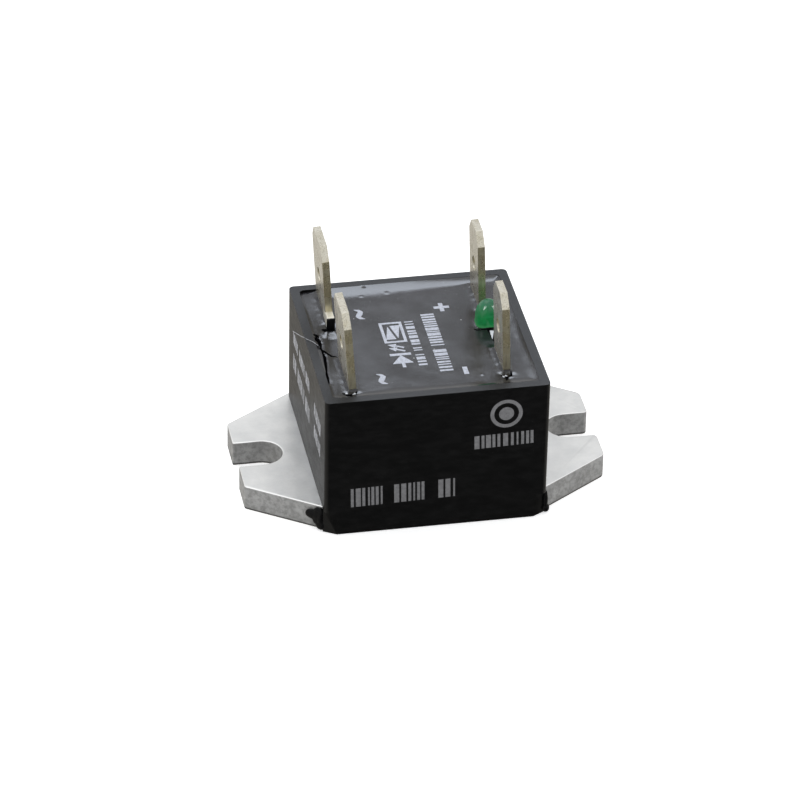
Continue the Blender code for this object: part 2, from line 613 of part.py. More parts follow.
def make_indicator(potting, board):
    """A round-topped lens with a flange under the surface, on two square legs into the board."""
    dome_base = LED_TOP - LED_RADIUS
    bm = bmesh.new()
    profile = [(0, LED_TOP)]
    quarter = LED_STEPS // 4
    profile += [
        (LED_RADIUS * math.sin(a), dome_base + LED_RADIUS * math.cos(a))
        for a in (math.pi / 2 * i / quarter for i in range(1, quarter + 1))
    ]
    profile += [
        (LED_RADIUS, LED_BOTTOM + LED_FLANGE_HEIGHT),
        (LED_FLANGE_RADIUS, LED_BOTTOM + LED_FLANGE_HEIGHT),
        (LED_FLANGE_RADIUS, LED_BOTTOM),
        (0, LED_BOTTOM),
    ]
    points = [bm.verts.new((radius, 0, z)) for radius, z in profile]
    for a, b in zip(points, points[1:]):
        bm.edges.new((a, b))
    mesh = bpy.data.meshes.new("led_lens")
    bm.to_mesh(mesh)
    bm.free()
    lens = bpy.data.objects.new("led_lens", mesh)
    lens.location = (LED_X, LED_Y, 0)
    place(lens, "green_lens")
    turn = lens.modifiers.new("turn", "SCREW")
    turn.steps = turn.render_steps = LED_STEPS
    turn.use_merge_vertices = True
    turn.merge_threshold = SAME_POINT
    turn.use_smooth_shade = True

    flange_top = LED_BOTTOM + LED_FLANGE_HEIGHT + GAP
    over = POTTING_TOP + OVERSHOOT
    cut(potting, cylinder("lens_space", LED_X, LED_Y, LED_RADIUS + GAP, LED_BOTTOM, over))
    cut(potting, cylinder("flange_space", LED_X, LED_Y, LED_FLANGE_RADIUS + GAP, POTTING_BOTTOM, flange_top))
    for name, side in (("led_lead_anode", 1), ("led_lead_cathode", -1)):
        middle = Vector((LED_X, LED_Y + side * LED_LEAD_SPACING / 2, 0))
        reach = Vector((LED_LEAD_SIZE, LED_LEAD_SIZE, 0)) / 2
        low = middle - reach + Vector((0, 0, BOARD_LOW.z - PIN_BELOW_BOARD))
        high = middle + reach + Vector((0, 0, LED_BOTTOM - GAP))
        block(name, low, high, "tin")
        margin = Vector((GAP, GAP, OVERSHOOT))
        cut(board, block(name + "_hole", low - margin, high + margin))


def make_bead(name, centre, half_sizes, turn):
    bm = bmesh.new()
    bmesh.ops.create_uvsphere(bm, u_segments=20, v_segments=12, radius=1.0)
    bmesh.ops.scale(bm, vec=Vector(half_sizes) * MM, verts=bm.verts)
    bead = place(mesh_object(name, bm, Vector(centre) * MM), "epoxy")
    bead.rotation_euler.z = turn
    smooth(bead)


def build():
    make_base_plate()
    make_case_frame()
    low_x = FRAME_LEFT + FRAME_WALL + GAP
    high_x = FRAME_RIGHT - FRAME_WALL - GAP
    low_y = FRAME_FRONT + FRAME_WALL + GAP
    high_y = FRAME_BACK - FRAME_WALL - GAP
    potting = block("potting_epoxy", (low_x, low_y, POTTING_BOTTOM), (high_x, high_y, POTTING_TOP), "epoxy")
    gel = block("silicone_gel", (low_x, low_y, BOND_BOTTOM), (high_x, high_y, GEL_TOP), "gel")
    seal_x = WAIST_X - 2 * GAP
    block("sealant_front", (-seal_x, low_y, GAP), (seal_x, -WAIST_Y - GAP, PLATE_THICKNESS), "epoxy")
    make_power_stage(gel)
    board = make_control_board(potting)
    make_indicator(potting, board)
    for tab in TABS:
        make_tab(*tab, potting, gel, board)
    for name, (centre, half_sizes, turn) in BEADS.items():
        make_bead(name, centre, half_sizes, turn)


clear_scene()
PARTS = new_collection("solid_state_relay")
CUTTERS = new_collection("cutters")
ROOT = bpy.data.objects.new("relay_origin", None)
PARTS.objects.link(ROOT)
build()
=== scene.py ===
"""The looks of a compact solid state relay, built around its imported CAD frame.

The frame's nodes keep their places. This script gives each inner one its finish, stands a finer piece in for
each one that shows, prints plain generic marks, and sets floor, light and camera. Metres, +Z up. Marks and
small features on a face are placed in millimetres on that face.
"""

import json
import math
import random

import bmesh
import bpy
from mathutils import Matrix, Vector, noise


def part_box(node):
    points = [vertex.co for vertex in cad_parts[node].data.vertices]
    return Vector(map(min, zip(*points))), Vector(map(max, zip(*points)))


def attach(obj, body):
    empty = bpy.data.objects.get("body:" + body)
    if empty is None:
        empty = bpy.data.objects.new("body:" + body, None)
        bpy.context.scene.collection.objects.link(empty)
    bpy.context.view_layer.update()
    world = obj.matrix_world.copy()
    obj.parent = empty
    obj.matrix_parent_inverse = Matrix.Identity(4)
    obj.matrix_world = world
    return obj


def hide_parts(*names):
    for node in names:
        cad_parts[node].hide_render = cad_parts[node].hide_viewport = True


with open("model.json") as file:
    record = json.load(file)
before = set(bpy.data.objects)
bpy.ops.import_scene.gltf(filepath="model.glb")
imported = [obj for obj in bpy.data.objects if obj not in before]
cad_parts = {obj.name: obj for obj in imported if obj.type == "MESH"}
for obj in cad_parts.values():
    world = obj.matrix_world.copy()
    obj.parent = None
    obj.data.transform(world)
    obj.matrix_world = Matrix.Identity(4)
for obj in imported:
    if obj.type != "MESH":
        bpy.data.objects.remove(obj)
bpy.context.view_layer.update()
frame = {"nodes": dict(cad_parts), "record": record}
MM = 0.001

# Camera: where it looks, how far away it stands, and how it is turned
CAMERA_TARGET = Vector((0.66, 12.25, 0.0)) * MM
CAMERA_DISTANCE = 501.1 * MM
CAMERA_AZIMUTH = math.radians(-11.21)
CAMERA_ELEVATION = math.radians(33.14)
CAMERA_ROLL = math.radians(1.16)
CAMERA_SENSOR = 36.0
CAMERA_LENS = 200.6

# Places, from the frame
PLATE_LOW, PLATE_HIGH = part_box("base_plate")
CASE_LOW, CASE_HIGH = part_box("case_frame")
POTTING_LOW, POTTING_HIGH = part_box("potting_epoxy")
LENS_LOW, LENS_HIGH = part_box("led_lens")
CASE_WALL = 1.0 * MM
RIM = CASE_HIGH.z
INNER_LOW = CASE_LOW + Vector((CASE_WALL, CASE_WALL, 0))
INNER_HIGH = CASE_HIGH - Vector((CASE_WALL, CASE_WALL, 0))
MOUNTS = {mount["name"]: mount for mount in frame["record"]["mounts"]}
TAB_NAMES = ("load_tab_rear", "load_tab_front", "input_tab_plus", "input_tab_minus")
TAB_THICKNESS = 0.81 * MM
LENS_HALF_WIDTH = 1.38 * MM
LENS_HALF_DEPTH = 1.2 * MM
LENS_DOME = 2.1 * MM
LENS_TOP = LENS_HIGH.z + 0.35 * MM
LENS_MIDDLE = (LENS_LOW + LENS_HIGH) / 2 + Vector((0.24, 0.27, 0)) * MM
ELLIPSE = 2.0  # how square the lens's plan is: its flange and its tip are ellipses, its barrel is squarer
BARREL = 3.4
FLOOR_GAP = 0.02 * MM

# Meshes
WELD = 0.001 * MM
ONE_FACE = math.radians(0.5)  # faces that turn less than this are one face
SHARP = math.radians(35)  # edges that turn more than this can be rounded
SMOOTH = math.radians(50)  # edges that turn less than this are shaded smooth
PLATE_ROLLOVER = 0.14 * MM
PLATE_FOOT_ROUNDING = 0.06 * MM
PLATE_SHORTEST_EDGE = 0.08 * MM  # shorter ones are welded away, to give the rollover room
SEAT_DEPTH_LIMIT = 0.3 * MM
CASE_ROUNDING = 0.08 * MM
TAB_ROUNDING = 0.07 * MM
POTTING_CELL = 0.1 * MM
BEAD_VOXEL = 0.06 * MM
BEAD_WAVINESS = 0.05 * MM
BAR_WIDTHS = (0.2, 0.32, 0.32, 0.55)  # mm, as are the gaps
BAR_GAPS = (0.16, 0.22, 0.3)
INK_THICKNESS = 0.012 * MM
INK_LIFT = 0.004 * MM
INK_STEP = 0.35  # mm between a stroke's points, so that it follows the surface under it


# ---------------------------------------------------------------- materials


class Finish:
    """A Principled material put together from procedural nodes, over object coordinates in millimetres."""

    def __init__(self, name, **sockets):
        self.material = bpy.data.materials.new(name)
        self.material.use_nodes = True
        self.tree = self.material.node_tree
        self.shader = self.tree.nodes["Principled BSDF"]
        for socket, value in sockets.items():
            self.shader.inputs[socket.replace("_", " ")].default_value = value
        coordinates = self.add("TexCoord")
        self.place = self.scaled(coordinates.outputs["Object"], (1 / MM,) * 3)

    def add(self, kind, links=(), values=(), **settings):
        node = self.tree.nodes.new("ShaderNode" + kind)
        for key, value in settings.items():
            setattr(node, key, value)
        for key, value in dict(values).items():
            node.inputs[key].default_value = value
        for key, source in dict(links).items():
            self.tree.links.new(source, node.inputs[key])
        return node

    def scaled(self, source, factors):
        return self.add("Mapping", {"Vector": source}, {"Scale": factors}).outputs[0]

    def noise(self, scale, detail=4.0, rough=0.55, stretch=(1, 1, 1)):
        """Noise with scale features per millimetre."""
        source = self.scaled(self.place, stretch)
        values = {"Scale": scale, "Detail": detail, "Roughness": rough}
        return self.add("TexNoise", {"Vector": source}, values).outputs["Fac"]

    def cells(self, scale):
        """Distance to the nearest of scattered points, scale of them per millimetre."""
        return self.add("TexVoronoi", {"Vector": self.place}, {"Scale": scale}).outputs["Distance"]

    def between(self, source, low, high, to_low=0.0, to_high=1.0):
        """Maps low..high onto to_low..to_high, held at its ends."""
        values = {"From Min": low, "From Max": high, "To Min": to_low, "To Max": to_high}
        return self.add("MapRange", {"Value": source}, values).outputs[0]

    def math(self, operation, first, second):
        node = self.add("Math", operation=operation)
        for i, value in enumerate((first, second)):
            if isinstance(value, (int, float)):
                node.inputs[i].default_value = value
            else:
                self.tree.links.new(value, node.inputs[i])
        return node.outputs[0]

    def blend(self, factor, first, second):
        """A colour between two, each a colour or another node's output."""
        node = self.add("Mix", {"Factor": factor}, data_type="RGBA")
        for key, value in ((6, first), (7, second)):
            if isinstance(value, tuple):
                node.inputs[key].default_value = (*value, 1.0)
            else:
                self.tree.links.new(value, node.inputs[key])
        return node.outputs[2]

    def colour(self, source):
        self.tree.links.new(source, self.shader.inputs["Base Color"])

    def metallic(self, source):
        self.tree.links.new(source, self.shader.inputs["Metallic"])

    def roughness(self, source):
        self.tree.links.new(source, self.shader.inputs["Roughness"])

    def bump(self, *layers):
        """Bumps, one over another: each is (height, depth in millimetres)."""
        normal = None
        for height, depth in layers:
            node = self.add("Bump", {"Height": height}, {"Strength": 1.0, "Distance": depth * MM})
            if normal:
                self.tree.links.new(normal, node.inputs["Normal"])
            normal = node.outputs[0]
        self.tree.links.new(normal, self.shader.inputs["Normal"])


def aluminium():
    """Bare sheet: satin faces, faint rolling marks, pits; greyer sheared edges, painted contact shade at the
    foot.
    """
    f = Finish("aluminium", Coat_Weight=0.1, Coat_Roughness=0.16)
    up = f.add("SeparateXYZ", {0: f.add("NewGeometry").outputs["True Normal"]}).outputs["Z"]
    height = f.add("SeparateXYZ", {0: f.place}).outputs["Z"]
    level = f.math("ABSOLUTE", up, 0.0)
    face = f.between(level, 0.2, 0.4)
    painted_edge_highlight = f.math("MULTIPLY", face, f.between(level, 0.97, 0.9))
    mottle = f.noise(0.35, 5, 0.6)
    rolling = f.noise(3.0, 3, 0.5, stretch=(0.12, 1.6, 1))
    grain = f.noise(9.0, 3, 0.6)
    pits = f.between(f.cells(0.3), 0.03, 0.05)
    torn = f.noise(1.8, 5, 0.65)
    blotch = f.noise(0.9, 4, 0.6)
    rolled = f.blend(f.between(mottle, 0.35, 0.7), (0.68, 0.685, 0.675), (0.80, 0.80, 0.785))
    rolled = f.blend(pits, (0.46, 0.46, 0.45), rolled)
    sheared = f.blend(f.between(blotch, 0.35, 0.7), (0.26, 0.26, 0.255), (0.37, 0.37, 0.365))
    sheared = f.blend(f.between(torn, 0.3, 0.55), (0.2, 0.2, 0.195), sheared)
    # painted contact shade: the sheared sides go near black in their lowest 0.12 to 0.3 mm
    sheared = f.blend(f.between(height, 0.12, 0.3), (0.012, 0.012, 0.012), sheared)
    # painted highlight: the rounded edges between faces and sides are painted near white
    rolled = f.blend(painted_edge_highlight, rolled, (0.96, 0.96, 0.95))
    f.colour(f.blend(face, sheared, rolled))
    f.metallic(f.between(face, 0, 1, 0.25, 0.92))
    satin = f.between(f.math("ADD", mottle, f.math("MULTIPLY", grain, 0.4)), 0.4, 1.0, 0.34, 0.48)
    f.roughness(f.math("ADD", satin, f.between(face, 0, 1, 0.15, 0)))
    tear = f.math("MULTIPLY", torn, f.between(face, 0, 1, 1, 0))
    f.bump((mottle, 0.04), (rolling, 0.006), (grain, 0.008), (tear, 0.05))
    return f.material


def black_plastic():
    """Moulded black thermoplastic with a fine texture, faint scuffs and dust."""
    f = Finish("black_plastic", Specular_IOR_Level=0.25)
    texture = f.noise(7.0, 4, 0.6)
    scuffs = f.noise(0.6, 6, 0.7, stretch=(1, 1, 3))
    dust = f.between(f.cells(1.3), 0.05, 0.02)
    base = f.blend(f.between(scuffs, 0.45, 0.8), (0.0024, 0.0024, 0.0026), (0.0062, 0.0062, 0.0064))
    f.colour(f.blend(dust, base, (0.04, 0.04, 0.042)))
    f.roughness(f.between(scuffs, 0.3, 0.8, 0.36, 0.5))
    f.bump((texture, 0.012), (scuffs, 0.01))
    return f.material


def epoxy_surface(name, gloss):
    """Poured dark epoxy: semi-gloss, slightly uneven, with dust specks."""
    f = Finish(name, IOR=1.52, Specular_IOR_Level=gloss)
    cloud = f.noise(0.22, 4, 0.55)
    ripple = f.noise(0.5, 3, 0.5)
    grain = f.noise(6.0, 4, 0.6)
    specks = f.between(f.cells(0.5), 0.055, 0.03)
    fine = f.between(f.cells(1.3), 0.10, 0.05)
    base = f.blend(f.between(cloud, 0.3, 0.7), (0.009, 0.009, 0.011), (0.017, 0.017, 0.020))
    base = f.blend(f.math("MULTIPLY", fine, 0.5), base, (0.10, 0.10, 0.105))
    f.colour(f.blend(f.math("MULTIPLY", specks, 0.8), base, (0.45, 0.46, 0.47)))
    f.roughness(f.between(f.math("ADD", cloud, f.math("MULTIPLY", grain, 0.3)), 0.4, 0.9, 0.14, 0.24))
    f.bump((ripple, 0.02), (grain, 0.004))
    return f.material


def tin_painted_highlight():
    """Tin painted paler than the tabs' plate: a painted highlight on the shoulder."""
    f = Finish("tin_painted_highlight", Metallic=0.5)
    f.colour(f.blend(f.between(f.noise(2.5, 4, 0.6), 0.35, 0.65), (0.86, 0.82, 0.66), (0.97, 0.95, 0.86)))
    f.roughness(f.between(f.noise(5.0), 0.3, 0.8, 0.3, 0.45))
    f.bump((f.noise(4.0, 4), 0.02))
    return f.material


def tin_plate():
    """Tin-plated brass: pale faces with drawn lines and tarnish in patches, and brassy sheared edges."""
    f = Finish("tin_plate", Metallic=0.72)
    drawn = f.noise(6.0, 4, 0.55, stretch=(1, 1.4, 0.1))
    patch = f.noise(0.7, 5, 0.6)
    grain = f.noise(11.0, 3, 0.6)
    stain = f.between(f.noise(1.1, 5, 0.7, stretch=(1, 1, 0.5)), 0.60, 0.70)
    base = f.blend(f.between(patch, 0.35, 0.7), (0.60, 0.565, 0.46), (0.76, 0.74, 0.66))
    base = f.blend(f.math("MULTIPLY", stain, 0.6), base, (0.26, 0.24, 0.14))
    sideways = f.add("SeparateXYZ", {0: f.add("NewGeometry").outputs["True Normal"]}).outputs["Y"]
    cut = f.between(f.math("ABSOLUTE", sideways, 0.0), 0.75, 0.9)
    base = f.blend(cut, base, f.blend(f.between(patch, 0.4, 0.6), (0.46, 0.41, 0.26), (0.56, 0.52, 0.38)))
    f.colour(f.blend(f.between(drawn, 0.48, 0.72, 0.0, 0.75), base, (0.30, 0.27, 0.19)))
    f.roughness(f.between(f.math("ADD", patch, f.math("MULTIPLY", stain, 0.3)), 0.4, 1.0, 0.26, 0.44))
    f.bump((drawn, 0.010), (grain, 0.006))
    return f.material


def green_lens():
    """Tinted, diffusing resin with a moulded gloss: brighter green in its barrel, darker in its dome, pale at
    its foot.
    """
    f = Finish("green_lens", IOR=1.5, Subsurface_Weight=0.5, Subsurface_Scale=0.8 * MM)
    f.shader.inputs["Subsurface Radius"].default_value = (0.3, 1.0, 0.5)
    height = f.add("SeparateXYZ", {0: f.place}).outputs["Z"]
    foot = (RIM - 0.2 * MM) / MM
    cloud = f.noise(0.9, 4, 0.6)
    barrel = f.blend(f.between(cloud, 0.3, 0.7), (0.010, 0.27, 0.07), (0.016, 0.36, 0.10))
    dome = f.blend(f.between(cloud, 0.3, 0.7), (0.014, 0.13, 0.06), (0.022, 0.17, 0.085))
    body = f.blend(f.between(height, foot + 1.0, foot + 2.6), barrel, dome)
    # painted highlight: a pale green band just above the lens's foot
    f.colour(f.blend(f.between(height, foot + 0.05, foot + 0.3), (0.06, 0.40, 0.13), body))
    f.roughness(f.between(f.noise(3.0), 0.3, 0.8, 0.05, 0.1))
    f.bump((f.noise(1.4, 3), 0.01))
    return f.material


def bead_epoxy():
    """Epoxy that ran out and set: black and wavy."""
    f = Finish("bead_epoxy", IOR=1.5, Specular_IOR_Level=0.12)
    cloud = f.noise(1.6, 4, 0.6)
    f.colour(f.blend(f.between(cloud, 0.3, 0.7), (0.0022, 0.0022, 0.0026), (0.005, 0.005, 0.0055)))
    f.roughness(f.between(cloud, 0.3, 0.8, 0.26, 0.48))
    f.bump((f.noise(2.2, 4), 0.04))
    return f.material


def ink_and_glint_paint(name, shade, worn):
    """Pad-printed ink, also used as paint for painted glints: thin, a little patchy, with worn spots."""
    f = Finish(name)
    patch = f.noise(3.5, 5, 0.65)
    f.colour(f.blend(f.between(patch, 0.38, 0.6), tuple(value * worn for value in shade), shade))
    f.roughness(f.between(patch, 0.3, 0.8, 0.5, 0.65))
    f.bump((f.noise(9.0, 3), 0.004))
    return f.material


def inner(name, low, high, rough, metallic=0.0, scale=2.0):
    """Finish of a piece under the epoxy: two close tones mixed by noise, with a fine bump."""
    f = Finish(name, Metallic=metallic)
    patch = f.noise(scale, 5, 0.6)
    f.colour(f.blend(f.between(patch, 0.35, 0.65), low, high))
    f.roughness(f.between(patch, 0.3, 0.8, rough * 0.8, min(1.0, rough * 1.3)))
    f.bump((f.noise(8.0, 3), 0.01))
    return f.material


def wear(item, material):
    """Gives an object this material in place of its own."""
    item.data.materials.clear()
    item.data.materials.append(material)


# ---------------------------------------------------------------- mesh helpers


def piece(name, bm, material, replaces=()):
    """A finished mesh as a piece that rides on the relay's one body."""
    bmesh.ops.recalc_face_normals(bm, faces=bm.faces)
    mesh = bpy.data.meshes.new(name)
    bm.to_mesh(mesh)
    bm.free()
    item = bpy.data.objects.new(name, mesh)
    bpy.context.scene.collection.objects.link(item)
    wear(item, material)
    mesh.shade_smooth()
    mesh.set_sharp_from_angle(angle=SMOOTH)
    normals = item.modifiers.new("normals", "WEIGHTED_NORMAL")
    normals.keep_sharp = True
    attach(item, "root")
    if replaces:
        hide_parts(replaces)
    return item


def node_mesh(name, whole_faces=True):
    """A welded copy of a CAD node's mesh, with its flat faces whole or still in triangles."""
    bm = bmesh.new()
    bm.from_mesh(frame["nodes"][name].data)
    bmesh.ops.remove_doubles(bm, verts=bm.verts, dist=WELD)
    if whole_faces:
        bmesh.ops.dissolve_limit(bm, angle_limit=ONE_FACE, verts=bm.verts, edges=bm.edges)
    return bm


def round_edges(bm, width, segments, chosen=lambda edge: True, clamp=True):
    """Rounds the sharp edges that are chosen."""
    bm.normal_update()
    sharp = [e for e in bm.edges if len(e.link_faces) == 2 and e.calc_face_angle() > SHARP and chosen(e)]
    shape = {"offset": width, "segments": segments, "profile": 0.5, "clamp_overlap": clamp}
    bmesh.ops.bevel(bm, geom=sharp, affect="EDGES", **shape)


def move_level(bm, low, high, level):
    """Moves every vertex between two heights to one level."""
    for vert in bm.verts:
        if low < vert.co.z < high:
            vert.co.z = level


def ease(t):
    """Smooth step from 0 to 1."""
    t = min(1.0, max(0.0, t))
    return t * t * (3 - 2 * t)


def unevenness(x, y, scale, seed=0.0):
    """Smooth noise from -1 to 1, with scale features per millimetre."""
    return noise.noise(Vector((x / MM * scale, y / MM * scale, seed)))


# ---------------------------------------------------------------- the epoxy's surface

# The epoxy climbs what it wets: how high it gets at a wall, and how far from it the climb starts
WALL_RISE = 0.27 * MM
BACK_REACH = 2.5 * MM
BACK_REACH_RIGHT = 1.1 * MM
LEFT_REACH = 0.35 * MM
RIGHT_REACH = 1.1 * MM
FRONT_REACH = 1.3 * MM
# How high it climbs each tab, and over what distance that fades
TAB_CLIMB = {
    "load_tab_rear": (0.3 * MM, 0.35 * MM),
    "load_tab_front": (0.3 * MM, 0.3 * MM),
    "input_tab_plus": (0.2 * MM, 0.3 * MM),
    "input_tab_minus": (0.3 * MM, 0.3 * MM),
}
LENS_CLIMB = (0.12 * MM, 0.25 * MM)
# Ripples left where the epoxy set against a tab's front: x, y, reach in mm
RIPPLES = ((-9.4, -10.9, 0.75), (7.7, -10.0, 0.7))
RIPPLE_HEIGHT = 0.09 * MM
# A fold in front of the rear load tab: x, half width, and the y of its foot, crest and end, in mm
FOLD = (-9.35, 0.75, 0.1, 1.5, 1.75)
FOLD_HEIGHT = 0.24 * MM
# The shrinkage crack beside the left wall: where it runs and its half width in mm, and its depth
CRACK = ((-10.74, -0.4), (-10.8, -1.7), (-10.72, -3.1), (-10.9, -5.1), (-11.1, -6.9), (-11.12, -8.4))
CRACK_HALF_WIDTH = 0.2
CRACK_DEPTH = 0.08 * MM
# Pits and drips where the epoxy didn't wet a tab or the lens: x, y, half sizes, height in mm
DIMPLES = (
    (-10.85, 0.3, 0.3, 0.6, -0.06),
    (-4.1, 10.0, 0.22, 0.2, 0.08),
    (-1.8, 8.6, 0.15, 0.2, 0.05),
    (-4.7, 8.3, 0.12, 0.12, 0.05),
    (5.3, -9.2, 0.15, 0.15, 0.04),
)
# Left of here, beside the load tabs, the epoxy gets a copy of its finish with half the reflection, so it
# shows darker
DULL_EDGE = -8.9 * MM


def tab_at(name, z):
    """Middle of a tab's blade at a height, and half its width. Its mount gives a point and the lean."""
    mount = MOUNTS[name + "_face"]
    out = Vector(mount["axis"])
    side = math.copysign(1.0, out.x)
    lean = -side * out.z / abs(out.x)
    middle = Vector(mount["pos_m"]) - out * TAB_THICKNESS / 2
    edge = min(vert.co.y for vert in frame["nodes"][name].data.vertices if vert.co.z > RIM)
    return Vector((middle.x + lean * (z - middle.z), middle.y)), middle.y - edge


TAB_SECTIONS = {name: tab_at(name, POTTING_HIGH.z) for name in TAB_NAMES}


def climb(distance, reach, rise):
    """How high the epoxy gets at a distance from a wall, if it rises this much at the wall."""
    return rise * max(0.0, 1 - max(0.0, distance) / reach) ** 2


def distance_to_path(x, y, path):
    """Distance in mm from a point to a line of points in mm."""
    point = Vector((x / MM, y / MM))
    nearest = 1e9
    for a, b in zip(path, path[1:]):
        a, b = Vector(a), Vector(b)
        along = min(1.0, max(0.0, (point - a).dot(b - a) / (b - a).length_squared))
        nearest = min(nearest, (point - a.lerp(b, along)).length)
    return nearest


def wall_climb(x, y):
    """The climb to the walls. The one at the back is widest left of the middle and fades out at the left."""
    along = ease((x - INNER_LOW.x) / (INNER_HIGH.x - INNER_LOW.x) * 1.25 - 0.25)
    back_reach = BACK_REACH + (BACK_REACH_RIGHT - BACK_REACH) * along
    back_reach *= ease((x - INNER_LOW.x) / (4 * MM)) * 0.5 + 0.5
    back_rise = WALL_RISE * ease((x / MM + 10.2) / 1.6)
    wander = 1 + 0.25 * unevenness(x, y, 0.35, 9.0)
    return max(
        climb(INNER_HIGH.y - y, back_reach, back_rise),
        climb(y - INNER_LOW.y, FRONT_REACH * wander, WALL_RISE),
        climb(x - INNER_LOW.x, LEFT_REACH * wander, WALL_RISE / 2),
        climb(INNER_HIGH.x - x, RIGHT_REACH * wander, WALL_RISE),
    )


def fittings_climb(x, y):
    """The climb to the tabs and the lens."""
    lens_height, lens_fade = LENS_CLIMB
    gap = max(0.0, math.hypot(x - LENS_MIDDLE.x, y - LENS_MIDDLE.y) - LENS_HALF_DEPTH)
    rise = lens_height * math.exp(-gap / lens_fade)
    for name, (middle, half_width) in TAB_SECTIONS.items():
        height, fade = TAB_CLIMB[name]
        off = Vector((max(0, abs(x - middle.x) - TAB_THICKNESS / 2), max(0, abs(y - middle.y) - half_width)))
        if off.length < 6 * fade:
            rise = max(rise, height * math.exp(-off.length / fade) * (1 + 0.3 * unevenness(x, y, 1.2, 2.0)))
    return rise


def flaws(x, y):
    """What the crack, the ripples, the fold, the pits and the drips add to the surface's height."""
    away = distance_to_path(x, y, CRACK) / (CRACK_HALF_WIDTH * (1 + 0.4 * unevenness(x, y, 1.5, 7.0)))
    z = -CRACK_DEPTH * math.exp(-away * away)
    for centre_x, centre_y, reach in RIPPLES:
        away = math.hypot(x / MM - centre_x, y / MM - centre_y) / reach
        z += RIPPLE_HEIGHT * unevenness(x, y, 1.9, 3.0) * math.exp(-away * away)
    middle_x, half_width, foot, crest, end = FOLD
    rise = ease((y / MM - foot) / (crest - foot)) * ease((end - y / MM) / (end - crest))
    z += FOLD_HEIGHT * rise * math.exp(-(((x / MM - middle_x) / half_width) ** 4))
    for centre_x, centre_y, half_x, half_y, height in DIMPLES:
        away = ((x / MM - centre_x) / half_x) ** 2 + ((y / MM - centre_y) / half_y) ** 2
        z += height * MM * math.exp(-away)
    return z


def surface(x, y):
    """Height of the poured epoxy at a place."""
    level = POTTING_HIGH.z + 0.025 * MM * unevenness(x, y, 0.16) + 0.006 * MM * unevenness(x, y, 0.9, 5.0)
    return level + max(wall_climb(x, y), fittings_climb(x, y)) + flaws(x, y)


def make_potting():
    """The epoxy fill: a fine sheet for its surface, closed by sides and a bottom."""
    columns = round((INNER_HIGH.x - INNER_LOW.x) / POTTING_CELL)
    rows = round((INNER_HIGH.y - INNER_LOW.y) / POTTING_CELL)
    bm = bmesh.new()
    grid = []
    for j in range(rows + 1):
        y = INNER_LOW.y + (INNER_HIGH.y - INNER_LOW.y) * j / rows
        xs = (INNER_LOW.x + (INNER_HIGH.x - INNER_LOW.x) * i / columns for i in range(columns + 1))
        grid.append([bm.verts.new((x, y, surface(x, y))) for x in xs])
    for lower, upper in zip(grid, grid[1:]):
        for i in range(columns):
            bm.faces.new((lower[i], lower[i + 1], upper[i + 1], upper[i]))
    border = grid[0] + [row[-1] for row in grid[1:]] + grid[-1][-2::-1] + [row[0] for row in grid[-2:0:-1]]
    floor = [bm.verts.new((v.co.x, v.co.y, POTTING_LOW.z)) for v in border]
    for i in range(len(border)):
        j = (i + 1) % len(border)
        bm.faces.new((border[j], border[i], floor[i], floor[j]))
    bm.faces.new(floor)
    for face in bm.faces:
        x, y, _ = face.calc_center_median()
        face.material_index = int(x < DULL_EDGE + 0.3 * MM * unevenness(x, y, 0.8))
    fill = piece("potting_fill", bm, epoxy_surface("epoxy_surface", 0.5), "potting_epoxy")
    fill.data.materials.append(epoxy_surface("dull_epoxy_surface", 0.25))


# ---------------------------------------------------------------- plate, case, tabs, lens and beads


def make_plate():
    """The base, its top edge rolled over by shearing, and the case's shallow seat on it filled."""
    bm = node_mesh("base_plate", whole_faces=False)
    move_level(bm, PLATE_HIGH.z - SEAT_DEPTH_LIMIT, PLATE_HIGH.z, PLATE_HIGH.z)
    bmesh.ops.remove_doubles(bm, verts=bm.verts, dist=PLATE_SHORTEST_EDGE)
    bmesh.ops.dissolve_degenerate(bm, dist=WELD, edges=bm.edges)
    top = PLATE_HIGH.z - WELD
    foot = PLATE_LOW.z + WELD
    round_edges(bm, PLATE_ROLLOVER, 3, lambda e: min(v.co.z for v in e.verts) > top, clamp=False)
    round_edges(bm, PLATE_FOOT_ROUNDING, 2, lambda e: max(v.co.z for v in e.verts) < foot, clamp=False)
    piece("heat_spreader", bm, aluminium(), "base_plate")


def make_case():
    """The frame, its side walls brought down onto the plate, and its corners and foot softened."""
    bm = node_mesh("case_frame")
    top = PLATE_HIGH.z
    move_level(bm, top + 0.1 * MM, top + 0.5 * MM, top + 0.01 * MM)
    round_edges(bm, CASE_ROUNDING, 2, lambda e: min(v.co.z for v in e.verts) < top)
    piece("case_shell", bm, black_plastic(), "case_frame")


def make_tabs():
    """The four tabs with their edges softened, and the shoulder that shows on one of them."""
    finish = tin_plate()
    for name in TAB_NAMES:
        bm = node_mesh(name)
        round_edges(bm, TAB_ROUNDING, 2)
        piece(name + "_blade", bm, finish, name)
    # the shoulder's paler tin is a painted highlight
    make_tab_shoulder(tin_painted_highlight())


def block(size, place, rounding):
    """A box with rounded edges."""
    bm = bmesh.new()
    bmesh.ops.create_cube(bm, size=1.0)
    bmesh.ops.scale(bm, vec=size, verts=bm.verts)
    bmesh.ops.translate(bm, vec=place, verts=bm.verts)
    round_edges(bm, rounding, 3)
    return bm


